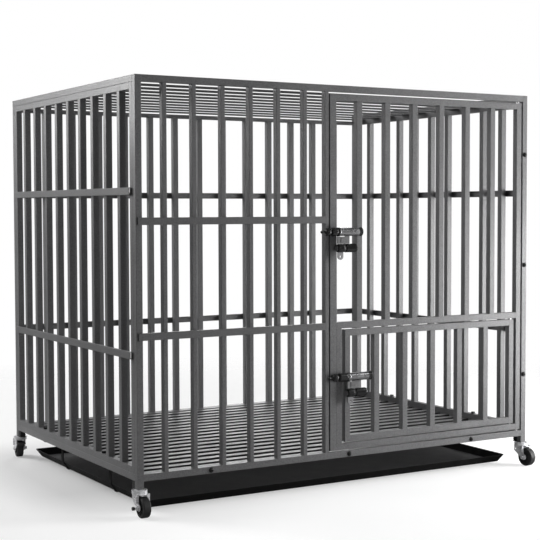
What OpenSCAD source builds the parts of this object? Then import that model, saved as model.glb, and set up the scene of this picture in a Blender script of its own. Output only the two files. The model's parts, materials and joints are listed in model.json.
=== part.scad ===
// Heavy duty dog crate on casters: welded square-tube panels with vertical bars, a full-height
// door with a small feeding door in it, two barrel latches, a slatted roof and floor and a
// slide-out waste tray. Millimetres. The origin is on the ground under the middle of the crate,
// X runs along its length, the doors face -Y and Z is up.

/* [Crate] */
// Length over the front posts
crate_l = 1090; // [950:5:1250]
// Width over the front and rear posts
crate_w = 770; // [660:5:900]
// Height from the ground to the top of the roof
crate_h = 943; // [840:5:1080]
// Height of the bottom rails above the ground
ground_gap = 75; // [70:1:100]
// How far the corner legs reach below the bottom rails
leg_drop = 17; // [12:0.5:22]

/* [Tubes] */
// Side of the square tube of the frames and of most bars
tube = 15; // [13:0.5:18]
// Wall of every tube
wall = 1; // [0.8:0.1:1.4]
// Outer corner radius of every tube
corner_r = 0.8; // [0.5:0.1:1.5]
// Width of the slim bars and of the door jamb in the front panel
slim_w = 10; // [9:0.5:13]

/* [Bars] */
// Bars in the fixed part of the front
front_bar_n = 6; // [4:1:7]
// Gap from the front bars to the post and to the jamb
front_end_gap = 49; // [40:1:60]
// Bars in the rear panel
rear_bar_n = 13; // [10:1:15]
// Gap from the rear bars to the posts
rear_end_gap = 64.5; // [50:0.5:75]
// Bars in each side panel
side_bar_n = 9; // [7:2:9]
// Gap from the side bars to the panel's stiles
side_end_gap = 50.3; // [42:0.1:60]

/* [Cross rails] */
// Height of the outside cross rails
rail_h = 16; // [12:0.5:20]
// Depth of the outside cross rails, open channels turned towards the bars
rail_t = 6; // [4:0.5:8]
// Middle of the upper cross rail of the front, above the bottom rail's underside
front_rail_high = 557.5; // [500:0.5:600]
// Middle of the lower cross rail of the front, above the bottom rail's underside
front_rail_low = 311; // [260:0.5:360]
// Middle of the upper cross rails of the sides and rear, above the bottom rail's underside
side_rail_high = 621.5; // [560:0.5:660]
// Middle of the lower cross rails of the sides and rear, above the bottom rail's underside
side_rail_low = 270; // [220:0.5:320]
// How far the front and rear cross rails stop short of the crate's side
front_rail_inset = 3.5; // [2:0.5:8]
// How far the side cross rails stop short of the panel's edge
side_rail_inset = 6; // [2:0.5:12]

/* [Roof and floor] */
// Width of the roof and floor slats
slat_w = 20; // [16:0.5:24]
// Roof slats
roof_slat_n = 10; // [7:1:11]
// Thickness of the flat roof slats
roof_slat_t = 2; // [1.5:0.5:4]
// Gap from the first roof slat to the front rail, and from the last to the rear tube
roof_end_gap = 18; // [8:0.5:30]
// Width of the roof slats
roof_slat_w = 36; // [16:0.5:45]
// How far the roof slats lie below the top of the side panels
roof_slat_drop = 2.6; // [2:0.1:6]
// Height of the rear panel's top rail
rear_rail_h = 10.5; // [10:0.5:15]
// Thickness of the flat bar that closes the roof at the rear
roof_bar_t = 2; // [1:0.5:4]
// Floor slats
floor_slat_n = 17; // [13:1:18]
// Height of the floor slats
floor_slat_t = 10; // [8:0.5:12]
// Gap from the first and last floor slats to the floor frame
floor_end_gap = 17.8; // [12:0.1:24]

/* [Main door] */
// Clear width between the jamb and the right post
opening_w = 587.3; // [540:0.1:620]
// Gap on the latch side of the main door
latch_gap = 3.3; // [3:0.1:5]
// Gap on the hinge side of the main door
hinge_gap = 4.3; // [3.2:0.1:6]
// Gap under the main door
door_gap_low = 3.4; // [2:0.1:5]
// Gap over the main door
door_gap_high = 5; // [3:0.1:7]
// Width of the stile that carries the main latch
lock_stile_w = 18; // [15:0.5:20]
// Bars in the upper part of the main door
door_bar_n = 6; // [4:1:7]
// Gap from the latch stile to the first door bar
door_first_gap = 57.5; // [45:0.5:70]
// Gap from the last door bar to the hinge stile
door_last_gap = 71; // [55:0.5:80]

/* [Feeding door] */
// Height of the small feeding door
small_h = 264.5; // [230:0.5:320]
// Gap over and under the feeding door
small_gap = 3; // [2:0.1:5]
// Gap on the latch side of the feeding door
small_latch_gap = 8.7; // [7:0.1:10]
// Gap on the hinge side of the feeding door
small_hinge_gap = 7.3; // [4:0.1:10]
// Bars in the feeding door
small_bar_n = 5; // [3:1:6]

/* [Hinge pins] */
// Diameter of the door pivot pins
pin_d = 8; // [6:0.5:9]
// How far a pivot pin reaches into the rail beside it
pin_reach = 8; // [5:0.5:10]
// Length of the square plug that holds a pin in its stile
pin_plug = 12; // [8:0.5:20]
// Radial play of the pins, bolts and axles in their holes
play = 0.3; // [0.2:0.05:0.5]

/* [Latches] */
// Height of the main latch above the bottom rail's underside
main_latch_z = 529.5; // [450:0.5:560]
// Height of the feeding-door latch above the bottom rail's underside
small_latch_z = 191; // [160:0.5:220]
// How far the feeding-door latch sits to the left of its stile's edge
small_latch_shift = 14; // [13:0.5:15]
// Extra reach of the feeding-door latch's collar
small_reach = 7; // [5:0.5:9]
// Distance from the door's face to the latch axis
latch_out = 12.5; // [11.5:0.1:14]
// Outer diameter of the latch barrel
barrel_d = 19; // [18:0.5:20]
// Length of the plain part of the latch barrel
barrel_l = 57; // [54:0.5:64]
// Outer diameter of the collars on the barrel
collar_d = 21; // [20.5:0.1:22]
// Diameter of the sliding bolt in the barrel
bolt_d = 13; // [11:0.5:14]
// Diameter of the bolt's nose
nose_d = 8; // [6:0.5:9]
// Travel of the bolt into its keeper
bolt_travel = 14; // [13:0.1:15]
// Thickness of the lever plate
lever_t = 3; // [2:0.1:3.5]
// Diameter of the grip and of the hasp's bush
grip_d = 20; // [16:0.5:22]
// Distance from the latch axis down to the grip
grip_drop = 37.5; // [34:0.5:42]
// Length of the hasp's tab, from the grip's axis
tab_l = 27; // [22:0.5:32]

/* [Bolts] */
// Diameter of the frame bolts
bolt_shank = 6; // [5:0.5:7]
// Diameter of the button heads
head_d = 12; // [9:0.5:14]
// Height of the button heads
head_h = 4; // [3:0.5:5]
// Width of the nuts across their flats
nut_w = 10; // [8:0.5:12]
// Height of the nuts
nut_h = 5; // [4:0.5:7]
// Distance of the outer bottom-rail bolts from the middle
rail_bolt_x = 367; // [300:1:420]
// Height of the middle post bolt above the bottom rail's underside
post_bolt_mid = 439; // [400:1:470]
// Distance of the other post bolts from the middle one
post_bolt_step = 280; // [220:1:330]

/* [Tray] */
// Gap between the tray's rim and the inner faces of the side tubes
tray_room_x = 24.5; // [24:0.5:36]
// Gap between the tray's rim and the inner faces of the front and rear rails
tray_room_y = 17; // [13:0.5:24]
// Gap from the floor frame down to the tray's rim
tray_drop = 50.5; // [40:0.5:52]
// Depth of the tray
tray_depth = 18.5; // [12:0.5:20]
// How far the tray's sides slope in
tray_slope = 13; // [8:0.5:20]
// Thickness of the tray
tray_t = 2; // [1.5:0.1:2.5]
// Corner radius of the tray
tray_r = 8; // [8:0.5:20]
// Width of the tray hangers
hanger_w = 12; // [8:0.5:20]
// Thickness of the tray hangers
hanger_t = 2; // [1.5:0.1:2.5]
// Side gap between the tray and its hangers
hanger_gap = 0.5; // [0.3:0.1:5]
// How far a hanger reaches under the tray
hanger_lip = 40; // [30:1:60]
// Distance of the hangers from the side bolts
hanger_room = 36; // [20:1:60]

/* [Casters] */
// Wheel diameter
wheel_d = 45; // [40:0.5:48]
// Wheel width
wheel_w = 18; // [15:0.5:20]
// Distance of the wheel's axle behind the swivel
trail = 20; // [17:0.5:21]
// Direction that the front right wheel trails in at rest, in degrees from +X
trail_turn = -84; // [-100:1:-60]
// Direction that the rear left wheel trails in at rest, in degrees from +X
trail_turn_rear = 80; // [60:1:110]
// Direction that the front left wheel trails in at rest, in degrees from +X
trail_turn_left = -90; // [-100:1:-60]
// Diameter of the axles
axle_d = 6; // [5:0.5:8]
// Thickness of the fork's sheet
fork_t = 2; // [1.5:0.1:2.5]
// Gap between the wheel and the fork
fork_gap = 1.2; // [0.8:0.1:2]
// Diameter of the swivel pin
stem_d = 8; // [7:0.5:10]
// Diameter of the swivel's bearing flange
flange_d = 22; // [18:0.5:24]
// Height of the swivel's bearing flange
flange_h = 6; // [4:0.5:7]
// Diameter of the ring round the bearing
ring_d = 34; // [30:0.5:36]

/* [Hidden] */
$fn = 48;
steel = [0.36, 0.36, 0.37];
black = [0.06, 0.06, 0.06];
zinc = [0.75, 0.76, 0.78];

x_out = crate_l / 2;
y_out = crate_w / 2;
x_in = x_out - tube;
y_in = y_out - tube;
y_pan = y_in - tube;
x_mid = x_out - tube / 2;
y_mid = y_out - tube / 2;
y_stile = y_in - tube / 2;
z_low = ground_gap;
z_deck = z_low + tube;
z_side = z_deck + tube;
z_roof = crate_h - tube;
z_sill = z_roof - tube;
z_leg = z_low - leg_drop;
bore_r = max(corner_r - wall, 0.3);

x_jamb = x_in - opening_w;
jamb_l = x_jamb - slim_w;
front_pitch = (jamb_l + x_in - 2 * front_end_gap - slim_w) / (front_bar_n - 1);
front_first = -x_in + front_end_gap + slim_w / 2;
rear_pitch = (2 * x_in - 2 * rear_end_gap - tube) / (rear_bar_n - 1);
side_pitch = (2 * y_pan - 2 * side_end_gap - tube) / (side_bar_n - 1);
roof_pitch = (2 * y_in - 2 * roof_end_gap - roof_slat_w) / (roof_slat_n - 1);
floor_pitch = (2 * y_pan - 2 * floor_end_gap - slat_w) / (floor_slat_n - 1);

door_l = x_jamb + latch_gap;
door_r = x_in - hinge_gap;
door_z0 = z_deck + door_gap_low;
door_z1 = z_roof - door_gap_high;
door_axis = door_r - tube / 2;
lock_r = door_l + lock_stile_w;
hinge_l = door_r - tube;
post_r = lock_r + tube;
door_pitch = (hinge_l - lock_r - door_first_gap - door_last_gap - tube) / (door_bar_n - 1);
door_first = lock_r + door_first_gap + tube / 2;

small_l = post_r + small_latch_gap;
small_r = hinge_l - small_hinge_gap;
small_z0 = door_z0 + tube + small_gap;
small_z1 = small_z0 + small_h;
small_axis = small_r - tube / 2;
mid_z = small_z1 + small_gap;
small_pitch = (small_r - small_l - tube) / (small_bar_n + 1);

// Latch stations along X, measured from the latch's own origin on the door's face
collar_x = -5.8;
collar_l = 16.8;
ring_l = 7;
flange_l = 4;
edge_r = 2;
ring_x = collar_x + collar_l;
barrel_x = ring_x + ring_l;
barrel_end = barrel_x + barrel_l;
guide_x = 5.5;
bolt_x = guide_x + bolt_travel + 0.5;
bolt_l = 40;
neck_x = barrel_x + bolt_travel + 1;
neck_l = 12;
nose_gap = 0.4;
plate_x = 13;
plate_top = -collar_d / 2 - play;
plate_low = -grip_drop + grip_d / 2 + play;
bush_x = plate_x - 2.2;
bush_l = 19;
lug_x = bush_x + bush_l + play;
lug_l = 3.5;
grip_x = lug_x + lug_l;
grip_l = 32;
rod_d = 8;
keeper_d = 17.5;
keeper_l = 14.4;
keeper_gap = 0.8;
nib_l = 9;
nib_d = 4.5;
nib_end_d = 7.5;
keeper_r = collar_x - keeper_gap;
tab_w = 15;
tab_t = 3;

side_bolt_y = 2.5 * side_pitch;
bolt_hole = bolt_shank + 2 * play;
pin_hole = pin_d + 2 * play;
side_grip = 2 * tube;
rail_wall = 1.5;
block_ribs = 3;
block_neck = 1.6;

tray_x = x_in - tray_room_x;
tray_y = y_in - tray_room_y;
tray_top = z_low - tray_drop;
tray_low = tray_top - tray_depth;
hanger_x = tray_x + hanger_gap;
hanger_y = side_bolt_y - hanger_room;
hanger_out = hanger_x + hanger_t;
hanger_low = tray_low - hanger_t;
foot_x = hanger_x - tray_slope;
lip_x = foot_x - hanger_lip;

wheel_r = wheel_d / 2;
crown_top = z_leg - flange_h - play;
crown_low = crown_top - fork_t;
stem_plug = pin_plug + 8;
cheek_y = wheel_w / 2 + fork_gap;
axle_head = 2.5;
axle_nut = 4;
axle_end = 4;
ring_rise = flange_h - 0.2;
fork_lip = 4;
lip_rise = 9;
fender_l = 11;
axle_long = 10;
fork_back = 12;
cheek_back = 15;
pedal_x = -8;
pedal_drop = 9;
pedal_z = crown_low - pedal_drop;
pedal_l = 18;
shoe_l = 9.5;
pedal_pin = 4;

// Rectangle with round corners, centred
module round_rect(w, d, r) {
    square([w - 2 * r, d], center = true);
    square([w, d - 2 * r], center = true);
    for (sx = [-1, 1])
        for (sy = [-1, 1])
            translate([sx * (w / 2 - r), sy * (d / 2 - r)])
                circle(r);
}

// Tube along Z from z0 to z1, centred on (x, y); lid closes its upper end
module tube_z(x, y, z0, z1, w = tube, d = tube, lid = 0) {
    translate([x, y, z0])
        difference() {
            linear_extrude(z1 - z0)
                round_rect(w, d, corner_r);
            translate([0, 0, -1])
                linear_extrude(z1 - z0 + 2 - lid * (1 + wall))
                    round_rect(w - 2 * wall, d - 2 * wall, bore_r);
        }
}

// Tube along X from x0 to x1, centred on (y, z)
module tube_x(x0, x1, y, z, d = tube, h = tube) {
    translate([x0, y, z])
        rotate([0, 90, 0])
            tube_z(0, 0, 0, x1 - x0, h, d);
}

// Tube along Y from y0 to y1, centred on (x, z); lid closes its far end
module tube_y(y0, y1, x, z, w = tube, h = tube, lid = 0) {
    translate([x, y0, z])
        rotate([-90, 0, 0])
            tube_z(0, 0, 0, y1 - y0, w, h, lid);
}

// Round hole along Z, X or Y
module hole_z(x, y, z0, z1, d) {
    translate([x, y, z0])
        cylinder(h = z1 - z0, d = d);
}

module hole_y(x, y0, y1, z, d) {
    translate([x, y0, z])
        rotate([-90, 0, 0])
            cylinder(h = y1 - y0, d = d);
}

function bar_at(first, pitch, i) = first + i * pitch;
function post_bolt_z(i) = z_low + post_bolt_mid + i * post_bolt_step;

// Front panel
module front_posts() {
    color(steel) {
        tube_z(-x_mid, -y_mid, z_leg, crate_h, lid = 1);
        difference() {
            tube_z(x_mid, -y_mid, z_leg, crate_h, lid = 1);
            for (i = [-1, 0, 1])
                hole_y(x_mid, -y_out - 1, -y_in + 1, post_bolt_z(i), bolt_hole);
        }
    }
}

module front_rails() {
    color(steel) {
        difference() {
            tube_x(-x_in, x_in, -y_mid, z_roof + tube / 2);
            hole_z(door_axis, -y_mid, z_roof - 1, z_roof + tube / 2, pin_hole);
        }
        difference() {
            tube_x(-x_in, x_in, -y_mid, z_low + tube / 2);
            hole_z(door_axis, -y_mid, z_low + tube / 2, z_deck + 1, pin_hole);
            for (i = [-1, 0, 1])
                hole_y(i * rail_bolt_x, -y_out - 1, -y_in + 1, z_low + tube / 2, bolt_hole);
        }
    }
}

module door_jamb() {
    color(steel)
        tube_z(x_jamb - slim_w / 2, -y_mid, z_deck, z_roof, slim_w);
}

module front_bars() {
    color(steel)
        for (i = [0 : front_bar_n - 1])
            tube_z(bar_at(front_first, front_pitch, i), -y_mid, z_deck, z_roof, slim_w);
}

// Rear panel
module rear_posts() {
    color(steel)
        for (s = [-1, 1])
            tube_z(s * x_mid, y_mid, z_leg, z_roof);
}

module rear_rails() {
    color(steel)
        tube_x(-x_in, x_in, y_mid, z_low + tube / 2);
        tube_x(-x_in, x_in, y_mid, z_sill + rear_rail_h / 2, tube, rear_rail_h);
}

module rear_bars() {
    color(steel)
        for (i = [0 : rear_bar_n - 1])
            tube_z(bar_at(-x_in + rear_end_gap + tube / 2, rear_pitch, i), y_mid, z_deck, z_sill);
}

// Side panels; side is -1 for the left and 1 for the right, bolted where post bolts come through
module panel_stiles(side, bolted) {
    x = side * x_mid;
    color(steel) {
        difference() {
            tube_z(x, -y_stile, z_deck, z_roof);
            if (bolted)
                for (i = [-1, 0, 1])
                    hole_y(x, -y_in - 1, -y_pan + 1, post_bolt_z(i), bolt_hole);
        }
        tube_z(x, y_stile, z_deck, z_roof);
    }
}

module panel_rails(side) {
    x = side * x_mid;
    color(steel) {
        tube_y(-y_pan, y_pan, x, z_sill + tube / 2);
        difference() {
            tube_y(-y_pan, y_pan, x, z_deck + tube / 2);
            for (s = [-1, 1])
                hole_z(x, s * side_bolt_y, z_deck - 1, z_side + 1, bolt_hole);
        }
    }
}

module panel_bars(side) {
    color(steel)
        for (i = [0 : side_bar_n - 1])
            tube_z(side * x_mid, bar_at(-y_pan + side_end_gap + tube / 2, side_pitch, i), z_side, z_sill);
}

module left_stiles() {
    panel_stiles(-1, false);
}

module left_rails() {
    panel_rails(-1);
}

module left_bars() {
    panel_bars(-1);
}

module right_stiles() {
    panel_stiles(1, true);
}

module right_rails() {
    panel_rails(1);
}

module right_bars() {
    panel_bars(1);
}

// Outside cross rails: channels along X or Y whose open side meets the bars
module channel(length) {
    linear_extrude(length)
        difference() {
            intersection() {
                translate([0, -rail_t])
                    round_rect(rail_h, 4 * rail_t, corner_r);
                translate([-rail_h, 0])
                    square([2 * rail_h, 2 * rail_t]);
            }
            translate([-rail_h / 2 + rail_wall, -rail_wall])
                square([rail_h - 2 * rail_wall, rail_t]);
        }
}

module channel_x(x0, x1, y, z, out) {
    translate([x0, y, z_low + z])
        rotate([0, 90, 0])
            mirror([0, out < 0 ? 1 : 0, 0])
                channel(x1 - x0);
}

module cross_rails() {
    reach_x = x_out - front_rail_inset;
    reach_y = y_in - side_rail_inset;
    color(steel) {
        for (z = [front_rail_high, front_rail_low])
            channel_x(-reach_x, jamb_l, -y_out, z, -1);
        for (z = [side_rail_high, side_rail_low]) {
            channel_x(-reach_x, reach_x, y_out, z, 1);
            rotate([0, 0, 90])
                channel_x(-reach_y, reach_y, x_out, z, 1);
            rotate([0, 0, -90])
                channel_x(-reach_y, reach_y, x_out, z, 1);
        }
    }
}

// Roof and floor
module roof_side_tubes() {
    color(steel)
        for (s = [-1, 1])
            tube_y(-y_in, y_out, s * x_mid, z_roof + tube / 2, lid = 1);
}

// Flat bar over the rear rail between the roof's side tubes
module roof_rear_tube() {
    color(steel)
        translate([-x_in, y_in, z_roof])
            cube([2 * x_in, tube, roof_bar_t]);
}

module roof_slats() {
    color(steel)
        for (i = [0 : roof_slat_n - 1])
            translate([-x_in, bar_at(-y_in + roof_end_gap, roof_pitch, i), z_roof - roof_slat_drop])
                cube([2 * x_in, roof_slat_w, roof_slat_t]);
}

module floor_side_tubes() {
    color(steel)
        for (s = [-1, 1])
            difference() {
                tube_y(-y_in, y_in, s * x_mid, z_low + tube / 2);
                for (t = [-1, 1])
                    hole_z(s * x_mid, t * side_bolt_y, z_low - 1, z_deck + 1, bolt_hole);
            }
}

module floor_cross_tubes() {
    color(steel) {
        difference() {
            tube_x(-x_in, x_in, -y_stile, z_low + tube / 2);
            for (i = [-1, 0, 1])
                hole_y(i * rail_bolt_x, -y_in - 1, -y_pan + 1, z_low + tube / 2, bolt_hole);
        }
        tube_x(-x_in, x_in, y_stile, z_low + tube / 2);
    }
}

module floor_slats() {
    color(steel)
        for (i = [0 : floor_slat_n - 1])
            tube_x(-x_in, x_in, bar_at(-y_pan + floor_end_gap + slat_w / 2, floor_pitch, i),
                z_deck - floor_slat_t / 2, slat_w, floor_slat_t);
}

// Plastic blocks between the legs and the floor frame
module corner_blocks() {
    step = leg_drop / (2 * block_ribs + 1);
    color(black)
        for (sx = [-1, 1])
            for (sy = [-1, 1])
                translate([sx * x_mid, sy * y_stile, z_leg]) {
                    linear_extrude(leg_drop)
                        round_rect(tube - block_neck, tube - block_neck, corner_r);
                    for (i = [0 : block_ribs])
                        translate([0, 0, 2 * i * step])
                            linear_extrude(step)
                                round_rect(tube, tube, corner_r);
                }
}

// Button-head bolt along +Y, its head's seat at the origin
module button_bolt(grip) {
    rotate([-90, 0, 0]) {
        cylinder(h = grip + nut_h, d = bolt_shank);
        difference() {
            translate([0, 0, -head_h])
                intersection() {
                    cylinder(h = head_h, d = head_d);
                    translate([0, 0, head_d * 0.62])
                        sphere(d = 2 * head_d * 0.62);
                }
            translate([0, 0, -head_h - 1])
                cylinder(h = head_h * 0.6 + 1, d = bolt_shank * 0.75, $fn = 6);
        }
    }
}

// Hexagon nut along +Y, its seat at the origin, threaded on a bolt
module hex_nut() {
    rotate([-90, 0, 0])
        difference() {
            cylinder(h = nut_h, d = nut_w / cos(30), $fn = 6);
            translate([0, 0, -1])
                cylinder(h = nut_h + 2, d = bolt_shank);
        }
}

module frame_bolts() {
    color(black) {
        for (i = [-1, 0, 1])
            translate([i * rail_bolt_x, -y_out, z_low + tube / 2])
                button_bolt(side_grip);
        for (i = [-1, 0, 1])
            translate([x_mid, -y_out, post_bolt_z(i)])
                button_bolt(side_grip);
        for (sx = [-1, 1])
            for (sy = [-1, 1])
                translate([sx * x_mid, sy * side_bolt_y, z_low])
                    rotate([90, 0, 0])
                        button_bolt(side_grip);
    }
}

module frame_nuts() {
    color(black) {
        for (i = [-1, 0, 1])
            translate([i * rail_bolt_x, -y_pan, z_low + tube / 2])
                hex_nut();
        for (i = [-1, 0, 1])
            translate([x_mid, -y_pan, post_bolt_z(i)])
                hex_nut();
        for (sx = [-1, 1])
            for (sy = [-1, 1])
                translate([sx * x_mid, sy * side_bolt_y, z_side])
                    rotate([90, 0, 0])
                        hex_nut();
    }
}

// Bent straps under the floor frame that follow the tray's sides and carry it
module hanger() {
    rotate([90, 0, 0])
        linear_extrude(hanger_w, center = true)
            polygon([
                [hanger_x, z_low], [hanger_x, tray_top], [foot_x, tray_low], [lip_x, tray_low],
                [lip_x, hanger_low], [hanger_out - tray_slope * (1 + hanger_t / tray_depth), hanger_low],
                [hanger_out, tray_top], [hanger_out, z_low - hanger_t],
                [x_mid, z_low - hanger_t], [x_mid, z_low]
            ]);
}

module tray_hangers() {
    color(black)
        for (s = [0, 1])
            for (y = [-hanger_y, hanger_y])
                mirror([s, 0, 0])
                    translate([0, y, 0])
                        hanger();
}

module pan_layer(grow, z) {
    translate([0, 0, z])
        linear_extrude(0.01)
            round_rect(2 * (tray_x - tray_slope + grow), 2 * (tray_y - tray_slope + grow),
                max(tray_r - tray_slope + grow, 2), $fn = 32);
}

module tray() {
    color(black)
        difference() {
            hull() {
                pan_layer(0, tray_low);
                pan_layer(tray_slope, tray_top - 0.01);
            }
            hull() {
                pan_layer(-tray_t, tray_low + tray_t);
                pan_layer(tray_slope * (1 + 1 / tray_depth) - tray_t, tray_top + 1);
            }
        }
}

// Doors
module pivot_pins(x, z0, z1) {
    side = tube - 2 * wall - 0.2;
    for (s = [0, 1])
        translate([x, -y_mid, s == 0 ? z0 : z1])
            mirror([0, 0, s]) {
                linear_extrude(pin_plug)
                    round_rect(side, side, bore_r);
                translate([0, 0, -pin_reach])
                    cylinder(h = pin_reach, d = pin_d);
            }
}

module main_door_stiles() {
    color(steel) {
        tube_z(door_l + lock_stile_w / 2, -y_mid, door_z0, door_z1, lock_stile_w, lid = 1);
        tube_z(door_axis, -y_mid, door_z0, door_z1);
    }
}

module main_door_rails() {
    color(steel) {
        tube_x(lock_r, hinge_l, -y_mid, door_z1 - tube / 2);
        difference() {
            tube_x(lock_r, hinge_l, -y_mid, mid_z + tube / 2);
            hole_z(small_axis, -y_mid, mid_z - 1, mid_z + tube / 2, pin_hole);
        }
        difference() {
            tube_x(lock_r, hinge_l, -y_mid, door_z0 + tube / 2);
            hole_z(small_axis, -y_mid, door_z0 + tube / 2, door_z0 + tube + 1, pin_hole);
        }
    }
}

// Upper bars, and the upright that the feeding door shuts against
module main_door_bars() {
    color(steel) {
        for (i = [0 : door_bar_n - 1])
            tube_z(bar_at(door_first, door_pitch, i), -y_mid, mid_z + tube, door_z1 - tube);
        tube_z(lock_r + tube / 2, -y_mid, door_z0 + tube, mid_z);
    }
}

module main_door_pins() {
    color(zinc) {
        pivot_pins(door_axis, door_z0, door_z1);
    }
}

module small_door_stiles() {
    color(steel) {
        tube_z(small_l + tube / 2, -y_mid, small_z0, small_z1, lid = 1);
        tube_z(small_axis, -y_mid, small_z0, small_z1);
    }
}

module small_door_rails() {
    color(steel)
        for (z = [small_z0, small_z1 - tube])
            tube_x(small_l + tube, small_r - tube, -y_mid, z + tube / 2);
}

module small_door_bars() {
    color(steel)
        for (i = [1 : small_bar_n])
            tube_z(small_l + tube / 2 + i * small_pitch, -y_mid, small_z0 + tube, small_z1 - tube);
}

module small_door_pins() {
    color(zinc) {
        pivot_pins(small_axis, small_z0, small_z1);
    }
}

// Latches; each is drawn about its axis and placed by at_main or at_small
module at_main() {
    translate([door_l, -y_out - latch_out, z_low + main_latch_z])
        children();
}

module at_small() {
    translate([small_l - small_latch_shift, -y_out - latch_out, z_low + small_latch_z])
        children();
}

module rod_x(x0, x1, d) {
    translate([x0, 0, 0])
        rotate([0, 90, 0])
            cylinder(h = x1 - x0, d = d);
}

// Block from the latch axis back to the door's face
module saddle(x0, x1, h) {
    translate([x0, 0, -h / 2])
        cube([x1 - x0, latch_out, h]);
}

// Round bar along X with its edges rounded
module bead_x(x0, x1, d, r) {
    translate([x0, 0, 0])
        rotate([0, 90, 0])
            rotate_extrude()
                intersection() {
                    square([d / 2, x1 - x0]);
                    union() {
                        square([d / 2 - r, x1 - x0]);
                        translate([0, r])
                            square([d / 2, x1 - x0 - 2 * r]);
                        for (x = [r, x1 - x0 - r])
                            translate([d / 2 - r, x])
                                circle(r);
                    }
                }
}

module latch_barrel(reach, saddle_x, saddle_l) {
    difference() {
        union() {
            bead_x(collar_x - reach, ring_x, collar_d - 1, 2 * edge_r);
            bead_x(ring_x, barrel_x, collar_d, edge_r);
            rod_x(ring_x, barrel_end + 1, barrel_d);
            bead_x(barrel_end, barrel_end + flange_l, collar_d, edge_r - 0.1);
            saddle(saddle_x, saddle_x + saddle_l, collar_d - 5);
        }
        rod_x(collar_x - reach - 1, guide_x + 1, nose_d + 2 * play);
        rod_x(guide_x, barrel_end, bolt_d + 2 * play);
        translate([neck_x - bolt_travel - 0.5, -lever_t / 2 - play, -collar_d])
            cube([neck_l + bolt_travel + 1, lever_t + 2 * play, collar_d]);
    }
}

// Keeper: a cup with a nib on its closed end, which the bolt's nose enters
// Keeper: a round cup with a nib on its closed end, which the bolt's nose enters
module latch_keeper(reach, saddle_x, saddle_l) {
    right = keeper_r - reach;
    left = right - keeper_l;
    difference() {
        union() {
            bead_x(left, right, keeper_d, keeper_l / 2 - 1.4);
            rod_x(left - nib_l, left + 1, nib_d);
            translate([left - nib_l, 0, 0])
                sphere(d = nib_end_d);
            saddle(saddle_x, saddle_x + saddle_l, keeper_d - 6);
        }
        rod_x(left + 1, right + 1, nose_d + 1);
    }
}

// Sliding bolt with its lever plate and the pin that carries the grip
// Sliding bolt with its lever plate and the cross rod that carries the hasp and the grip
module latch_bolt(reach) {
    rod_x(collar_x - reach + nose_gap, bolt_x + 1, nose_d);
    rod_x(bolt_x, bolt_x + bolt_l, bolt_d);
    translate([0, lever_t / 2, 0])
        rotate([90, 0, 0])
            linear_extrude(lever_t)
                difference() {
                    union() {
                        translate([neck_x, plate_top - 1])
                            square([neck_l, -plate_top]);
                        translate([plate_x - 1, plate_low])
                            square([neck_x + neck_l - plate_x + 1, plate_top - plate_low]);
                        translate([lug_x, -grip_drop])
                            square([lug_l, plate_low + grip_drop + 1]);
                    }
                    translate([plate_x + 7, plate_low + 3])
                        square([2, plate_top - plate_low - 6]);
                }
    translate([0, 0, -grip_drop]) {
        rod_x(bush_x - 2, grip_x + grip_l - 8, rod_d);
        bead_x(lug_x, lug_x + lug_l, grip_d - 6, 0.5);
        bead_x(bush_x - 2, bush_x - play, rod_d + 4, 0.5);
    }
}

module latch_grip() {
    translate([grip_x, 0, -grip_drop])
        rotate([0, 90, 0])
            difference() {
                rotate_extrude()
                    intersection() {
                        union() {
                            square([grip_d / 2, grip_l - 5]);
                            translate([0, grip_l - 5])
                                square([grip_d / 2 - 5, 5]);
                            translate([grip_d / 2 - 5, grip_l - 5])
                                circle(5);
                        }
                        square([grip_d, grip_l]);
                    }
                translate([0, 0, -1])
                    cylinder(h = grip_l - 7, d = rod_d + 0.2);
            }
}

// Hasp: a bush that turns on the cross rod, and the tab that hangs from it
module latch_bush() {
    translate([0, 0, -grip_drop])
        difference() {
            bead_x(bush_x, bush_x + bush_l, grip_d, 2 * edge_r);
            rod_x(bush_x - 1, bush_x + bush_l + 1, rod_d + 2 * play);
        }
}

module latch_tab() {
    middle = bush_x + bush_l / 2;
    translate([0, 0, -grip_drop])
        difference() {
            translate([middle, tab_t / 2, 0])
                rotate([90, 0, 0])
                    linear_extrude(tab_t)
                        difference() {
                            union() {
                                translate([-tab_w / 2, -tab_l + tab_w / 2])
                                    square([tab_w, tab_l - tab_w / 2]);
                                translate([0, -tab_l + tab_w / 2])
                                    circle(tab_w / 2);
                            }
                            translate([0, -tab_l + tab_w / 2])
                                circle(tab_w / 6);
                        }
            rod_x(bush_x, bush_x + bush_l, grip_d);
        }
}

module main_latch_keeper() {
    color(black)
        at_main()
            latch_keeper(0, -latch_gap - slim_w + 0.5, keeper_r - 1 + latch_gap + slim_w);
}

module main_latch_barrel() {
    color(black)
        at_main()
            latch_barrel(0, 1, lock_stile_w - 2);
}

module main_latch_bolt() {
    color(black)
        at_main()
            latch_bolt(0);
}

module main_latch_grip() {
    color(black)
        at_main()
            latch_grip();
}

module main_latch_turn() {
    color(black)
        at_main()
            latch_bush();
}

module main_latch_tab() {
    color(zinc)
        at_main()
            latch_tab();
}

module small_latch_keeper() {
    color(black)
        at_small()
            latch_keeper(small_reach, keeper_r - small_reach - keeper_l + 4, keeper_l - 6);
}

module small_latch_barrel() {
    color(black)
        at_small()
            latch_barrel(small_reach, small_latch_shift + 1, tube - 2);
}

module small_latch_bolt() {
    color(black)
        at_small()
            latch_bolt(small_reach);
}

module small_latch_grip() {
    color(black)
        at_small()
            latch_grip();
}

module small_latch_turn() {
    color(black)
        at_small()
            latch_bush();
}

module small_latch_tab() {
    color(zinc)
        at_small()
            latch_tab();
}

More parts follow.
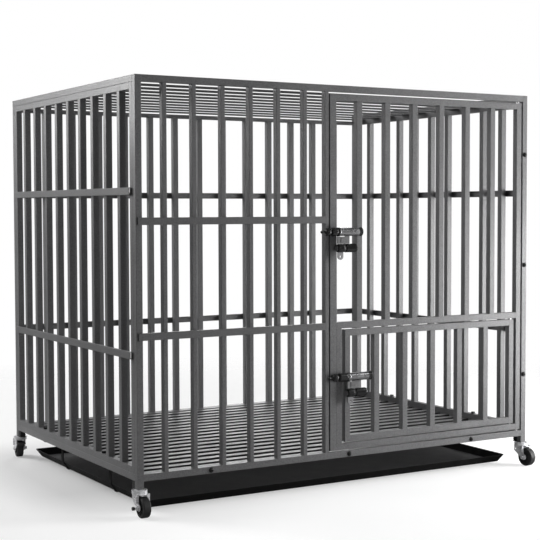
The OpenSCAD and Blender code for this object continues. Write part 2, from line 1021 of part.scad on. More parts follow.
// Casters; a caster is drawn about its swivel axis with its wheel trailing along +X
module at_caster(sx, sy) {
    front_turn = sx < 0 ? trail_turn_left : trail_turn;
    rear_turn = sx < 0 ? trail_turn_rear : trail_turn_left + 180;
    translate([sx * x_mid, sy * y_mid, 0])
        rotate([0, 0, sy < 0 ? front_turn : rear_turn])
            children();
}

module caster_stems() {
    side = tube - 2 * wall - 0.2;
    color(zinc)
        for (sx = [-1, 1])
            for (sy = [-1, 1])
                translate([sx * x_mid, sy * y_mid, z_leg]) {
                    linear_extrude(stem_plug)
                        round_rect(side, side, bore_r);
                    translate([0, 0, -flange_h])
                        cylinder(h = flange_h + 0.01, d = flange_d);
                    translate([0, 0, -flange_h - fork_t - 2 * play - 1])
                        cylinder(h = fork_t + 2 * play + 2, d = stem_d);
                    translate([0, 0, -flange_h - fork_t - 2 * play - 3])
                        cylinder(h = 3, d = stem_d + 6);
                }
}

module cheek() {
    difference() {
        union() {
            polygon([
                [-fork_back, crown_top], [trail - 2, crown_top], [trail - 1, wheel_r + lip_rise],
                [trail + 6, wheel_r + 3], [trail, wheel_r], [trail - 5, wheel_r - 5],
                [-fork_back, crown_top - cheek_back]
            ]);
            translate([trail, wheel_r])
                circle(7);
        }
        translate([pedal_x, pedal_z])
            circle(pedal_pin / 2 + play);
        translate([trail, wheel_r])
            circle(axle_d / 2);
    }
}

// Pressed fork: a crown with a raised bearing ring round the swivel, and two cheeks
module fork() {
    half = cheek_y + fork_t;
    lip_low = wheel_r + lip_rise;
    color(zinc)
        difference() {
            union() {
                translate([-fork_back, -half, crown_low])
                    cube([fork_back + trail - 2, 2 * half, fork_t]);
                translate([trail - 3, -cheek_y, crown_low])
                    cube([fender_l, 2 * cheek_y, fork_t]);
                translate([0, 0, crown_low])
                    cylinder(h = fork_t + ring_rise, d = ring_d);
                for (y = [half, -cheek_y])
                    translate([0, y, 0])
                        rotate([90, 0, 0])
                            linear_extrude(fork_t)
                                cheek();
                for (y = [cheek_y, -half - fork_lip])
                    translate([trail - 2 - fork_t, y, lip_low])
                        cube([fork_t, fork_lip + fork_t, crown_low + 1 - lip_low]);
            }
            translate([0, 0, crown_low - 1])
                cylinder(h = fork_t + 2, d = stem_d + 2 * play);
            translate([0, 0, crown_top])
                cylinder(h = ring_rise + 1, d = ring_d - 2 * fork_t);
        }
}

module wheel() {
    color(black)
        translate([trail, 0, wheel_r])
            rotate([90, 0, 0])
                rotate_extrude()
                    difference() {
                        union() {
                            translate([0, -wheel_w / 2 + 3])
                                square([wheel_r, wheel_w - 6]);
                            translate([0, -wheel_w / 2])
                                square([wheel_r - 3, wheel_w]);
                            for (s = [-1, 1])
                                translate([wheel_r - 3, s * (wheel_w / 2 - 3)])
                                    circle(3);
                        }
                        translate([-1, -wheel_w])
                            square([axle_d / 2 + play + 1, 2 * wheel_w]);
                        for (s = [-1, 1])
                            translate([axle_d, s * wheel_w / 2 - 2])
                                square([wheel_r - axle_d - 6, 4]);
                    }
}

// Axle bolt: a low round head on one cheek, a nut and the bolt's end on the other
module axle(end_l) {
    half = cheek_y + fork_t;
    tip_l = end_l / 2;
    color(zinc)
        translate([trail, 0, wheel_r])
            rotate([90, 0, 0]) {
                translate([0, 0, -half])
                    cylinder(h = 2 * half + axle_nut + end_l, d = axle_d);
                translate([0, 0, -half - axle_head])
                    cylinder(h = axle_head, d = axle_d + 4);
                translate([0, 0, half])
                    cylinder(h = axle_nut, d = (axle_d + 4) / cos(30), $fn = 6);
                translate([0, 0, half + axle_nut + end_l - tip_l])
                    cylinder(h = tip_l, d = axle_d + 2);
            }
}

// Brake pedal pinned between the cheeks, with a shoe that swings towards the tread
module brake() {
    wide = 2 * cheek_y - 1;
    color(black)
        translate([pedal_x, 0, pedal_z])
            rotate([90, 0, 0]) {
                cylinder(h = 2 * (cheek_y + fork_t), d = pedal_pin, center = true);
                linear_extrude(wide, center = true)
                    union() {
                        circle(4);
                        translate([-pedal_l, 0])
                            square([pedal_l, 3]);
                        translate([-pedal_l, 1.5])
                            circle(1.5);
                        rotate(-70)
                            translate([0, -2])
                                square([shoe_l, 4]);
                    }
            }
}

module front_left_fork() {
    at_caster(-1, -1) fork();
}

module front_left_wheel() {
    at_caster(-1, -1) wheel();
}

module front_left_axle() {
    at_caster(-1, -1) axle(axle_long);
}

module front_right_fork() {
    at_caster(1, -1) fork();
}

module front_right_wheel() {
    at_caster(1, -1) wheel();
}

module front_right_axle() {
    at_caster(1, -1) axle(axle_end);
}

module rear_left_fork() {
    at_caster(-1, 1) fork();
}

module rear_left_wheel() {
    at_caster(-1, 1) wheel();
}

module rear_left_axle() {
    at_caster(-1, 1) axle(axle_end);
}

module rear_left_brake() {
    at_caster(-1, 1) brake();
}

module rear_right_fork() {
    at_caster(1, 1) fork();
}

module rear_right_wheel() {
    at_caster(1, 1) wheel();
}

module rear_right_axle() {
    at_caster(1, 1) axle(axle_long);
}

module rear_right_brake() {
    at_caster(1, 1) brake();
}

front_posts();
front_rails();
door_jamb();
front_bars();
rear_posts();
rear_rails();
rear_bars();
left_stiles();
left_rails();
left_bars();
right_stiles();
right_rails();
right_bars();
cross_rails();
roof_side_tubes();
roof_rear_tube();
roof_slats();
floor_side_tubes();
floor_cross_tubes();
floor_slats();
corner_blocks();
frame_bolts();
frame_nuts();
tray_hangers();
caster_stems();
main_door_stiles();
main_door_rails();
main_door_bars();
main_door_pins();
main_latch_keeper();
main_latch_barrel();
main_latch_bolt();
main_latch_grip();
main_latch_turn();
main_latch_tab();
small_door_stiles();
small_door_rails();
small_door_bars();
small_door_pins();
small_latch_keeper();
small_latch_barrel();
small_latch_bolt();
small_latch_grip();
small_latch_turn();
small_latch_tab();
tray();
front_left_fork();
front_left_wheel();
front_left_axle();
front_right_fork();
front_right_wheel();
front_right_axle();
rear_left_fork();
rear_left_wheel();
rear_left_axle();
rear_left_brake();
rear_right_fork();
rear_right_wheel();
rear_right_axle();
rear_right_brake();
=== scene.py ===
import bpy, bmesh, json, math
from mathutils import Matrix, Vector


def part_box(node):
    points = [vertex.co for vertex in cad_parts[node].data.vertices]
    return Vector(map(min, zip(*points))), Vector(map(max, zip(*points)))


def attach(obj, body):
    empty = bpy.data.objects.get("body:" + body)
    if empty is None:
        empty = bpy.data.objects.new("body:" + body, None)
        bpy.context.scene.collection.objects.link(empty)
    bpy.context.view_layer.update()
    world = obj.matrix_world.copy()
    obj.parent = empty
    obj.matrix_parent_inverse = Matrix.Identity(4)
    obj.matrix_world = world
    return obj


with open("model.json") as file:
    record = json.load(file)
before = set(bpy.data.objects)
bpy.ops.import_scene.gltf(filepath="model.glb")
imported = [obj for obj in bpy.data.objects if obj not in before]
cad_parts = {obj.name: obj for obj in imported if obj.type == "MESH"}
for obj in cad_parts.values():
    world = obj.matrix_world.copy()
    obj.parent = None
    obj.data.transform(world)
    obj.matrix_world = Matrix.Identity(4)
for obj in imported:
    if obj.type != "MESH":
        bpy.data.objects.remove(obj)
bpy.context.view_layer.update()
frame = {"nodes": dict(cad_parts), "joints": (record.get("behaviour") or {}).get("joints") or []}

# Front, rear and side panels: posts, rails and upright bars of square steel tube, butt welded.
# They carry one coat of dark grey powder paint with a fine orange-peel skin and a satin shine.
# Knocks and hands have rubbed it a little lighter in patches.


class Tone:
    """A value, colour or shape on its way through one tree of nodes."""

    def __init__(self, nodes, socket):
        self.nodes = nodes
        self.socket = socket

    def maths(self, operation, first, second):
        return self.nodes.node("ShaderNodeMath", {"operation": operation}, {0: first, 1: second})

    def __add__(self, other):
        return self.maths("ADD", self, other)

    def __radd__(self, other):
        return self.maths("ADD", other, self)

    def __sub__(self, other):
        return self.maths("SUBTRACT", self, other)

    def __rsub__(self, other):
        return self.maths("SUBTRACT", other, self)

    def __mul__(self, other):
        return self.maths("MULTIPLY", self, other)

    def __rmul__(self, other):
        return self.maths("MULTIPLY", other, self)


class Nodes:
    """A tree of nodes, for a finish or for a shape that repeats."""

    def node(self, kind, settings=None, sockets=None, out=0):
        made = self.tree.nodes.new(kind)
        for key, value in (settings or {}).items():
            setattr(made, key, value)
        for key, value in (sockets or {}).items():
            if isinstance(value, Tone):
                self.tree.links.new(value.socket, made.inputs[key])
            else:
                made.inputs[key].default_value = value
        return Tone(self, made.outputs[out])


class Finish(Nodes):
    """One material: its main shader, and the nodes that colour it."""

    def __init__(self, name, **fixed):
        self.material = bpy.data.materials.new(name)
        self.material.use_nodes = True
        self.tree = self.material.node_tree
        self.shader = self.tree.nodes["Principled BSDF"]
        for socket, value in fixed.items():
            self.shader.inputs[socket.replace("_", " ")].default_value = value

    def place(self):
        return self.node("ShaderNodeTexCoord", out="Object")

    def axis(self, letter):
        return self.node("ShaderNodeSeparateXYZ", None, {"Vector": self.place()}, letter)

    def cloud(self, scale, detail, stretch=(1.0, 1.0, 1.0)):
        where = self.node("ShaderNodeMapping", None, {"Vector": self.place(), "Scale": stretch})
        return self.node("ShaderNodeTexNoise", None,
                         {"Vector": where, "Scale": scale, "Detail": detail})

    def band(self, value, low, high, start=0.0, end=1.0):
        return self.node("ShaderNodeMapRange", {"clamp": True},
                         {0: value, 1: low, 2: high, 3: start, 4: end})

    def spread(self, cloud, start=0.0, end=1.0):
        return self.band(cloud, 0.3, 0.7, start, end)

    def level_faces(self, tilted, level):
        normal = self.node("ShaderNodeTexCoord", out="Normal")
        upward = self.node("ShaderNodeSeparateXYZ", None, {"Vector": normal}, "Z")
        return self.band(upward, tilted, level)

    def mix(self, factor, first, second):
        # Sockets 6 and 7 and output 2 are the colours of a Mix node
        return self.node("ShaderNodeMix", {"data_type": "RGBA"},
                         {0: factor, 6: first, 7: second}, 2)

    def put(self, socket, tone):
        self.tree.links.new(tone.socket, self.shader.inputs[socket])

    def relief(self, height, strength, distance):
        self.put("Normal", self.node("ShaderNodeBump", None, {
            "Strength": strength, "Distance": distance, "Height": height}))


def grey(tone, blue=1.02):
    return (tone, tone, tone * blue, 1.0)


satin, satin_limit = 0.36, 0.5


def grey_paint(name, tone, scuff, shaded_side_share=1.0, rough=satin):
    dark, light, raised = tone * 0.76, tone * 0.92, tone * 1.3
    speckled, rubbed = tone * 2.2, tone * 1.7
    paint = Finish(name, Metallic=0.0, Specular_IOR_Level=0.4, Coat_Roughness=0.25)
    peel = paint.cloud(scale=620.0, detail=2.0)
    drift = paint.cloud(scale=7.0, detail=4.0)
    flecks = paint.band(paint.cloud(scale=1900.0, detail=1.0), 0.60, 0.72)
    wear = paint.cloud(scale=34.0, detail=5.0, stretch=(1.0, 1.0, 0.35))
    rubs = paint.band(wear, 0.60, 0.74) * scuff
    hammer = paint.spread(paint.cloud(scale=430.0, detail=2.0))
    colour = paint.mix(paint.band(drift, 0.35, 0.65), grey(dark), grey(light))
    colour = paint.mix(hammer, colour, grey(raised))
    colour = paint.mix(flecks * 0.35, colour, grey(speckled))
    colour = paint.mix(rubs, colour, grey(rubbed))
    # With a side share below one, faces that do not face up take a darker colour: a painted shade.
    if shaded_side_share < 1.0:
        colour = paint.mix(paint.level_faces(0.75, 0.97), grey(tone * shaded_side_share), colour)
    paint.put("Base Color", colour)
    paint.put("Roughness", paint.spread(drift, rough, rough + 0.1) + rubs * 0.14)
    if rough < satin_limit:
        paint.put("Coat Weight", paint.spread(peel, 0.06, 0.16))
    paint.relief(peel + hammer * 0.6 + flecks * 0.3, strength=0.16, distance=0.0004)
    return paint.material


def coat(material, *nodes):
    for name in nodes:
        for slot in frame["nodes"][name].material_slots:
            slot.material = material


panel_paint = grey_paint("panel_paint", tone=0.135, scuff=0.25)
coat(panel_paint, "front_posts", "front_rails", "door_jamb", "front_bars")
coat(panel_paint, "rear_posts", "rear_rails", "rear_bars")
coat(panel_paint, "left_stiles", "left_rails", "left_bars")
coat(panel_paint, "right_stiles", "right_rails", "right_bars")

# Panel welds: a short rippled bead down each side of a bar's foot and head, where it meets a rail.
# The faces that show are ground flush before painting, so the beads stay between the bars.
bead_radius, bead_ripple, bead_waves = 0.0011, 0.22, 22.0
bead_short = 0.004
bar_gap = 0.03


class Growth(Nodes):
    """A Geometry Nodes tree with named sizes that grows one small shape on many places."""

    def __init__(self, name, **sizes):
        self.tree = bpy.data.node_groups.new(name, "GeometryNodeTree")
        sockets = self.tree.interface
        sockets.new_socket("Places", in_out="INPUT", socket_type="NodeSocketGeometry")
        sockets.new_socket("Shape", in_out="OUTPUT", socket_type="NodeSocketGeometry")
        self.sizes = {}
        for label, value in sizes.items():
            made = sockets.new_socket(label, in_out="INPUT", socket_type="NodeSocketFloat")
            self.sizes[made.identifier] = value
        self.entry = self.tree.nodes.new("NodeGroupInput")

    def given(self, label):
        return Tone(self, self.entry.outputs[label])

    def spot(self, x=0.0, y=0.0, z=0.0):
        return self.node("ShaderNodeCombineXYZ", None, {0: x, 1: y, 2: z})

    def turned(self):
        turn = self.node("GeometryNodeInputNamedAttribute", {"data_type": "FLOAT"}, {0: "turn"})
        return self.spot(z=turn)

    def end(self, shape, turn, material):
        grown = self.node("GeometryNodeInstanceOnPoints", None, {
            "Points": self.given("Places"), "Instance": shape, "Rotation": turn})
        solid = self.node("GeometryNodeRealizeInstances", None, {0: grown})
        painted = self.node("GeometryNodeSetMaterial", None, {0: solid, "Material": material})
        self.tree.links.new(painted.socket, self.tree.nodes.new("NodeGroupOutput").inputs[0])

    def grow(self, name, places, turns, body, slot, stand=Matrix()):
        seed = bpy.data.meshes.new(name + "_places")
        seed.from_pydata(places, [], [])
        seed.attributes.new("turn", "FLOAT", "POINT").data.foreach_set("value", turns)
        maker = bpy.data.objects.new(name + "_maker", seed)
        bpy.context.scene.collection.objects.link(maker)
        modifier = maker.modifiers.new(name, "NODES")
        modifier.node_group = self.tree
        for identifier, value in self.sizes.items():
            modifier[identifier] = value
        ready = maker.evaluated_get(bpy.context.evaluated_depsgraph_get())
        mesh = bpy.data.meshes.new_from_object(ready)
        maker.modifiers.remove(modifier)
        bpy.data.objects.remove(maker)
        mesh.transform(stand)
        piece = bpy.data.objects.new(name, mesh)
        bpy.context.scene.collection.objects.link(piece)
        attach(piece, body)


def bead_tree(material, length):
    weld = Growth("weld_bead", Length=length, Radius=bead_radius, Ripple=bead_ripple)
    half = weld.given("Length") * 0.5
    run = weld.node("GeometryNodeCurvePrimitiveLine", None,
                    {"Start": weld.spot(0.0 - half), "End": weld.spot(half)})
    run = weld.node("GeometryNodeResampleCurve", None, {"Curve": run, "Count": 8})
    along = weld.node("GeometryNodeSplineParameter")
    wave = weld.node("ShaderNodeMath", {"operation": "SINE"}, {0: along * bead_waves})
    ring = weld.node("GeometryNodeCurvePrimitiveCircle", None,
                     {"Resolution": 6, 4: weld.given("Radius")})
    bead = weld.node("GeometryNodeCurveToMesh", None, {
        0: run, 1: ring, "Scale": 1.0 + wave * weld.given("Ripple"), "Fill Caps": True})
    weld.end(bead, weld.turned(), material)
    return weld


def bar_ends(node, axis):
    corners = [vertex.co.copy() for vertex in frame["nodes"][node].data.vertices]
    corners.sort(key=lambda corner: corner[axis])
    bars = [[corners[0]]]
    for corner in corners[1:]:
        if corner[axis] - bars[-1][-1][axis] > bar_gap:
            bars.append([])
        bars[-1].append(corner)
    places, turns = [], []
    for bar in bars:
        low = [min(corner[k] for corner in bar) for k in range(3)]
        high = [max(corner[k] for corner in bar) for k in range(3)]
        for side in (low[axis], high[axis]):
            for level in (low[2], high[2]):
                middle = [(low[0] + high[0]) / 2, (low[1] + high[1]) / 2, level]
                middle[axis] = side
                places.append(middle)
                turns.append(math.pi / 2 if axis == 0 else 0.0)
    return places, turns


bar_low, bar_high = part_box("rear_bars")
bead_length = bar_high[1] - bar_low[1] - bead_short
panel_beads = bead_tree(panel_paint, bead_length)
panel_places, panel_turns = [], []
for barred, across in (("front_bars", 0), ("rear_bars", 0), ("left_bars", 1), ("right_bars", 1)):
    places, turns = bar_ends(barred, across)
    panel_places += places
    panel_turns += turns
panel_beads.grow("panel_welds", panel_places, panel_turns, "crate", "grey_paint")

# Cross rails: thin channels welded over the outside of the bars, open towards them.
# They have the same grey paint, a little thinner inside the channel.
rail_paint = grey_paint("rail_paint", tone=0.130, scuff=0.3)
coat(rail_paint, "cross_rails")

# Roof: a tube frame with flat steel slats let in between its sides.
# The slats are rolled flat bar; dust has dulled the paint on their open tops.
roof_paint = grey_paint("roof_paint", tone=0.130, scuff=0.2)
coat(roof_paint, "roof_side_tubes", "roof_rear_tube")
dull_paint = grey_paint("dull_paint", tone=0.125, scuff=0.2, rough=0.72)
coat(dull_paint, "roof_slats")

# Floor: a tube frame with flat-oval slats close together, for paws to stand on.
# Their sides and undersides are painted far darker than their tops: a painted shade between the
# slats.
floor_paint = grey_paint("floor_paint", tone=0.150, scuff=0.5)
coat(floor_paint, "floor_side_tubes", "floor_cross_tubes")
# The slats' sides and undersides get a tenth of the tone: painted shade between the slats.
slat_paint = grey_paint("slat_paint", tone=0.150, scuff=0.5, shaded_side_share=0.1)
coat(slat_paint, "floor_slats")

# Corner blocks: moulded black plastic packers beside each leg, under the floor frame.
# The moulding is finely grained and matt.


def moulded_plastic(name, tone, rough, grain):
    plastic = Finish(name, Metallic=0.0, Specular_IOR_Level=0.45)
    drift = plastic.cloud(scale=22.0, detail=4.0)
    colour = plastic.mix(plastic.spread(drift), grey(tone * 0.75), grey(tone * 1.25))
    plastic.put("Base Color", colour)
    plastic.put("Roughness", plastic.spread(drift, rough, rough + 0.12))
    plastic.relief(plastic.cloud(scale=grain, detail=2.0), strength=0.2, distance=0.0003)
    return plastic.material


block_plastic = moulded_plastic("block_plastic", tone=0.016, rough=0.45, grain=1100.0)
coat(block_plastic, "corner_blocks")

# Frame bolts and nuts: black-oxide button-head socket screws through the frame, with hexagon nuts.
# The oxide is dark and slightly oily, with a worn sheen on the heads.
oxide_dark, oxide_worn = grey(0.010), grey(0.034, blue=0.97)
oxide = Finish("black_oxide", Metallic=0.6, Specular_IOR_Level=0.5)
oxide_stain = oxide.cloud(scale=160.0, detail=4.0)
oxide.put("Base Color", oxide.mix(oxide.band(oxide_stain, 0.35, 0.7), oxide_dark, oxide_worn))
oxide.put("Roughness", oxide.spread(oxide_stain, 0.28, 0.42))
oxide.relief(oxide.cloud(scale=1500.0, detail=2.0), strength=0.12, distance=0.0002)
coat(oxide.material, "frame_bolts", "frame_nuts")

# Tray hangers: black painted steel straps bent round the tray and fixed under the floor frame.
# They are hidden behind the rails, so the paint is plain, matt and unworn.
strap_paint = grey_paint("strap_paint", tone=0.004, scuff=0.0, rough=0.80)
coat(strap_paint, "tray_hangers")

# Main door and feeding door: the same welded tube and grey paint, hung on zinc-plated pivot pins.
# Hands have polished the paint slightly along the stiles, and the bars have the panels' weld beads.
door_paint = grey_paint("door_paint", tone=0.135, scuff=0.3)
coat(door_paint, "main_door_stiles", "main_door_rails", "main_door_bars")
coat(door_paint, "small_door_stiles", "small_door_rails", "small_door_bars")
door_beads = bead_tree(door_paint, bead_length)
for door in ("main_door", "small_door"):
    places, turns = bar_ends(door + "_bars", 0)
    door_beads.grow(door + "_welds", places, turns, door, "grey_paint")
cap_edge, cap_tone = 0.0004, 0.012


def zinc_plate(name, tone, rough, metal, cap_from=None):
    zinc = Finish(name, Metallic=metal)
    brush = zinc.cloud(scale=90.0, detail=3.0, stretch=(1.0, 1.0, 9.0))
    cloudy = zinc.spread(zinc.cloud(scale=30.0, detail=5.0))
    colour = zinc.mix(cloudy, grey(tone * 0.86), grey(tone * 1.1))
    if cap_from:
        outward = zinc.node("ShaderNodeMath", {"operation": "ABSOLUTE"}, {0: zinc.axis("X")})
        cap = zinc.band(outward, cap_from, cap_from + cap_edge)
        colour = zinc.mix(cap, colour, grey(cap_tone))
        zinc.put("Metallic", metal - cap * metal)
    zinc.put("Base Color", colour)
    zinc.put("Roughness", zinc.spread(brush, rough, rough + 0.14))
    zinc.relief(brush, strength=0.08, distance=0.0002)
    return zinc.material


pin_zinc = zinc_plate("pin_zinc", tone=0.58, rough=0.20, metal=1.0)
coat(pin_zinc, "main_door_pins", "small_door_pins")

# Latch barrels: a turned steel tube between two black collars, welded to the stile.
# A black keeper cup stands across the gap; faint turning marks run round all of them.
collar_share, cap_share = 0.24, 0.12
collar_edge = 0.0006
bare_tone = 0.30


def turned_steel(name, bright_from, bright_to):
    steel = Finish(name, Specular_IOR_Level=0.5)
    smear = steel.cloud(scale=55.0, detail=4.0)
    along = steel.axis("X")
    past_collar = steel.band(along, bright_from, bright_from + collar_edge)
    before_cap = steel.band(along, bright_to, bright_to + collar_edge, 1.0, 0.0)
    bare = past_collar * before_cap
    black = steel.mix(steel.band(smear, 0.35, 0.7), grey(0.012), grey(0.026))
    steel.put("Base Color", steel.mix(bare, black, grey(bare_tone)))
    steel.put("Metallic", bare)
    steel.put("Roughness", steel.spread(smear, 0.14, 0.24) + bare * 0.08)
    marks = steel.cloud(scale=420.0, detail=2.0, stretch=(6.0, 1.0, 1.0))
    steel.relief(marks, strength=0.08, distance=0.0002)
    return steel.material


for latch in ("main_latch", "small_latch"):
    left_end, right_end = (corner[0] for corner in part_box(latch + "_barrel"))
    length = right_end - left_end
    barrel_steel = turned_steel(latch + "_steel", left_end + collar_share * length,
                                right_end - cap_share * length)
    coat(barrel_steel, latch + "_barrel", latch + "_keeper")

# Latch bolts: a round steel bolt with a flat lever plate hung under it, painted with the door.
# Sliding has worn the paint of the plate a little.
lever_paint = grey_paint("lever_paint", tone=0.150, scuff=0.4)
coat(lever_paint, "main_latch_bolt", "small_latch_bolt")

# Grips and hasp bushes: smooth black moulded plastic, pressed on to the lever and the hasp's rod.
# The hasp's tab is a strip of zinc-plated steel, duller than the pins.
grip_plastic = moulded_plastic("grip_plastic", tone=0.010, rough=0.12, grain=900.0)
coat(grip_plastic, "main_latch_grip", "small_latch_grip", "main_latch_turn", "small_latch_turn")
tab_zinc = zinc_plate("tab_zinc", tone=0.24, rough=0.40, metal=0.6)
coat(tab_zinc, "main_latch_tab", "small_latch_tab")

# Tray: one vacuum-formed black plastic pan with sloped sides, grained inside and out.
# It slides out on its rolled lip; its flat floor is painted paler than its walls, painted light on
# the floor and painted shade on the walls.
pan_shaded_wall, pan_dark, pan_pale = grey(0.0012), grey(0.048), grey(0.064)
pan = Finish("tray_plastic", Metallic=0.0, Specular_IOR_Level=0.18)
pan_drift = pan.cloud(scale=22.0, detail=4.0)
pan_lit_floor = pan.mix(pan.spread(pan_drift), pan_dark, pan_pale)
# Faces that face up take the pale floor colour, a painted light; all other faces take the
# near-black wall colour, a painted shade.
pan.put("Base Color", pan.mix(pan.level_faces(0.85, 0.97), pan_shaded_wall, pan_lit_floor))
pan.put("Roughness", pan.spread(pan_drift, 0.54, 0.66))
pan.relief(pan.cloud(scale=700.0, detail=2.0), strength=0.2, distance=0.0003)
coat(pan.material, "tray")

# Casters: pressed zinc-plated forks on plugged stems, with turned axles riveted over.
# The plating is bright, and a black cap is pressed over the outer tip of each front axle.
axle_cap_from = 0.5585
fork_zinc = zinc_plate("fork_zinc", tone=0.88, rough=0.22, metal=0.3)
axle_zinc = zinc_plate("axle_zinc", tone=0.80, rough=0.22, metal=0.6, cap_from=axle_cap_from)
coat(fork_zinc, "caster_stems")
for corner in ("front_left", "front_right", "rear_left", "rear_right"):
    coat(fork_zinc, corner + "_fork")
    coat(axle_zinc, corner + "_axle")

# Wheels: black rubber-tyred mouldings with ribs round a sunk hub on both faces.
# They turn on the axles between the fork's cheeks.
rib_count, rib_length, rib_thick, rib_height = 10, 0.0104, 0.0014, 0.0014
rib_middle, rib_floor = 0.01125, 0.007
wheel_rubber = moulded_plastic("wheel_rubber", tone=0.014, rough=0.50, grain=800.0)
wheel_ribs = Growth("wheel_ribs", Length=rib_length, Thickness=rib_thick, Height=rib_height)
rib_size = wheel_ribs.spot(wheel_ribs.given("Length"), wheel_ribs.given("Thickness"),
                           wheel_ribs.given("Height"))
rib = wheel_ribs.node("GeometryNodeMeshCube", None, {"Size": rib_size})
wheel_ribs.end(rib, wheel_ribs.turned(), wheel_rubber)
spokes = [2 * math.pi * step / rib_count for step in range(rib_count)]
rib_level = rib_floor + rib_height / 2
rib_places = [(rib_middle * math.cos(spoke), rib_middle * math.sin(spoke), level)
              for level in (-rib_level, rib_level) for spoke in spokes]
for joint in frame["joints"]:
    if joint["name"].endswith("_wheel_spin"):
        corner = joint["name"].replace("_wheel_spin", "")
        axle_turn = Vector(joint["axis"]).to_track_quat("Z", "X").to_matrix().to_4x4()
        stand = Matrix.Translation(joint["pos_m"]) @ axle_turn
        wheel_ribs.grow(corner + "_wheel_ribs", rib_places, spokes * 2, corner + "_roller",
                        "wheel_rubber", stand)
        coat(wheel_rubber, corner + "_wheel")

# Brake pedals: small black mouldings on the rear forks, pressed down by foot on to the tyre.
# Low ridges across the plate give the foot a hold.
ridge_radius, ridge_length, ridge_level = 0.0007, 0.015, 0.003
ridge_count, ridge_first, ridge_step = 4, 0.006, 0.003
pedal_plastic = moulded_plastic("pedal_plastic", tone=0.016, rough=0.4, grain=900.0)
coat(pedal_plastic, "rear_left_brake", "rear_right_brake")
ridges = Growth("pedal_ridges", Radius=ridge_radius, Length=ridge_length)
ridge = ridges.node("GeometryNodeMeshCylinder", None, {
    "Vertices": 12, "Radius": ridges.given("Radius"), "Depth": ridges.given("Length")})
ridges.end(ridge, ridges.spot(math.pi / 2), pedal_plastic)
ridge_places = [(-ridge_first - ridge_step * step, 0.0, ridge_level) for step in range(ridge_count)]
upright = Vector((0.0, 0.0, 1.0))
for joint in frame["joints"]:
    if joint["name"].endswith("_brake_press"):
        corner = joint["name"].replace("_brake_press", "")
        across = Vector(joint["axis"])
        pedal_turn = Matrix((upright.cross(across), -across, upright)).transposed().to_4x4()
        stand = Matrix.Translation(joint["pos_m"]) @ pedal_turn
        ridges.grow(corner + "_pedal_ridges", ridge_places, [0.0] * ridge_count, corner + "_pedal",
                    "black_plastic", stand)

# Studio floor: pale paper that fades into white air all round.
# Its glow is for the camera alone. It is brighter at the right than at the left, a painted shading,
# and weaker under the crate and at its left, a painted shadow.
floor_half, fade_from, fade_to = 6.0, 1.1, 2.4
shade_left, shade_right = (-0.74, -0.60), (0.35, 0.60)
shade_front, shade_rear = (-0.44, -0.10), (0.42, 0.62)
paper_dark, paper_pale = grey(0.54, blue=1.0), grey(0.56, blue=1.0)
glow_right, glow_left, glow_in_painted_shadow = (grey(tone, blue=1.0) for tone in (0.66, 0.44, 0.26))
left_x, left_y, glow_from, glow_to = 0.6, 0.8, -0.3, 0.5
floor_mesh = bpy.data.meshes.new("studio_floor")
floor_shape = bmesh.new()
bmesh.ops.create_grid(floor_shape, x_segments=1, y_segments=1, size=floor_half)
floor_shape.to_mesh(floor_mesh)
floor_shape.free()
studio_floor = bpy.data.objects.new("studio_floor", floor_mesh)
bpy.context.scene.collection.objects.link(studio_floor)
paper = Finish("studio_paper", Roughness=0.9, Specular_IOR_Level=0.1, Emission_Strength=1.0)
paper_drift = paper.spread(paper.cloud(scale=0.7, detail=2.0))
paper.put("Base Color", paper.mix(paper_drift, paper_dark, paper_pale))
floor_x, floor_y = paper.axis("X"), paper.axis("Y")
leftward = floor_y * left_y - floor_x * left_x
# The glow dims from the right towards the left: a painted shading.
glow = paper.mix(paper.band(leftward, glow_from, glow_to), glow_right, glow_left)
# Under the crate and at its left the glow drops further: a painted shadow.
painted_shadow_x = paper.band(floor_x, *shade_left) * paper.band(floor_x, *shade_right, 1.0, 0.0)
painted_shadow_y = paper.band(floor_y, *shade_front) * paper.band(floor_y, *shade_rear, 1.0, 0.0)
glow = paper.mix(painted_shadow_x * painted_shadow_y, glow, glow_in_painted_shadow)
seen = paper.node("ShaderNodeLightPath", out="Is Camera Ray")
paper.put("Emission Color", paper.mix(seen, grey(0.0), glow))
reach = paper.node("ShaderNodeVectorMath", {"operation": "LENGTH"}, {0: paper.place()}, "Value")
paper.put("Alpha", paper.band(reach, fade_from, fade_to, 1.0, 0.0))
floor_mesh.materials.append(paper.material)

# Studio light: soft boxes at the right, at the front and behind, hidden from the camera.
# Each has its place, the point that it faces, its width in metres and its power in watts.


def softbox(name, place, aim, width, power):
    data = bpy.data.lights.new(name, "AREA")
    data.shape = "SQUARE"
    data.size = width
    data.energy = power
    lamp = bpy.data.objects.new(name, data)
    bpy.context.scene.collection.objects.link(lamp)
    lamp.location = place
    lamp.rotation_euler = (Vector(aim) - Vector(place)).to_track_quat("-Z", "Y").to_euler()
    lamp.visible_camera = False


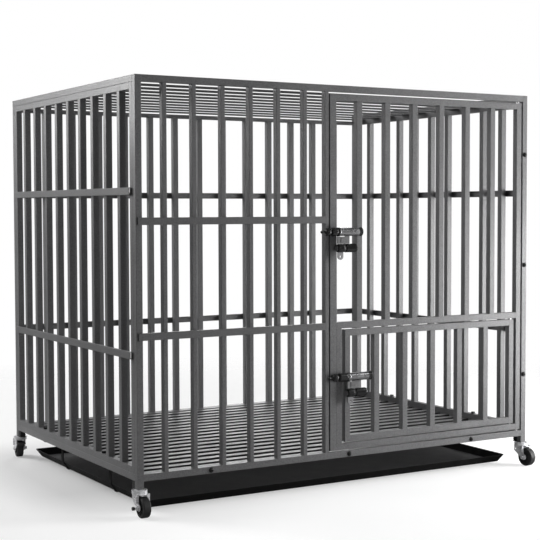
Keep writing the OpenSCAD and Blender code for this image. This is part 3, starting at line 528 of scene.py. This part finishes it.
softbox("right_light", (1.5, -1.0, 1.4), (0.4, -0.385, 0.6), 0.7, 12.0)
softbox("right_middle_light", (2.2, -1.0, 0.9), (0.3, -0.385, 0.5), 0.7, 11.0)
softbox("right_low_light", (1.4, -1.1, 0.35), (0.3, -0.385, 0.3), 0.6, 18.0)
softbox("right_rear_light", (1.6, 1.2, 1.2), (0.2, 0.2, 0.5), 0.9, 3.0)
softbox("front_light", (-0.56, -3.6, 1.1), (0.0, -0.385, 0.5), 0.5, 11.0)
softbox("left_rear_light", (-1.7, 1.5, 1.4), (0.0, 0.1, 0.5), 1.0, 30.0)
softbox("left_high_light", (-1.6, 0.9, 2.2), (0.0, 0.0, 0.5), 1.0, 15.0)
softbox("rear_light", (0.3, 2.8, 2.2), (0.0, 0.0, 0.5), 2.0, 5.0)
softbox("rear_floor_light", (1.7, 3.0, 1.6), (0.0, 0.0, 0.1), 1.1, 30.0)

# Studio air: white to look at, dimmer in reflections, and it gives little light of its own.
# The shaded sides of the tubes stay dark against it.
air_light, air_seen, mirror_share = 0.04, 1.0, 0.208
white = grey(1.0, blue=1.0)
world = bpy.data.worlds.new("studio_air")
world.use_nodes = True
air = Nodes()
air.tree = world.node_tree
looked_at = air.node("ShaderNodeLightPath", out="Is Camera Ray")
mirrored = air.node("ShaderNodeLightPath", out="Is Glossy Ray")
dim_air = air.node("ShaderNodeBackground", None, {"Color": white, "Strength": air_light})
white_air = air.node("ShaderNodeBackground", None, {"Color": white, "Strength": air_seen})
sky = air.node("ShaderNodeMixShader", None, {
    0: looked_at + mirrored * mirror_share, 1: dim_air, 2: white_air})
air.tree.links.new(sky.socket, air.tree.nodes["World Output"].inputs["Surface"])
bpy.context.scene.world = world
bpy.context.scene.view_settings.view_transform = "Standard"

# Camera: an 85 mm view from the front left, a little above the middle of the crate.
# It looks slightly down, and stands about 2.7 metres from the nearest post.
camera_place = (-1.6677, -2.84905, 0.6556)
camera_lens, film_width = 84.78, 36.0
yaw, pitch, roll = math.radians(30.515), math.radians(2.701), math.radians(-0.157)
ahead = Vector((math.sin(yaw) * math.cos(pitch), math.cos(yaw) * math.cos(pitch), -math.sin(pitch)))
flat_right = Vector((math.cos(yaw), -math.sin(yaw), 0.0))
flat_up = flat_right.cross(ahead)
right = flat_right * math.cos(roll) + flat_up * math.sin(roll)
camera_turn = Matrix((right, right.cross(ahead), -ahead)).transposed().to_4x4()
camera_data = bpy.data.cameras.new("photo_view")
camera_data.sensor_width = film_width
camera_data.lens = camera_lens
camera_data.clip_start = 0.05
camera_data.clip_end = 100.0
camera = bpy.data.objects.new("photo_view", camera_data)
bpy.context.scene.collection.objects.link(camera)
camera.matrix_world = Matrix.Translation(camera_place) @ camera_turn
bpy.context.scene.camera = camera
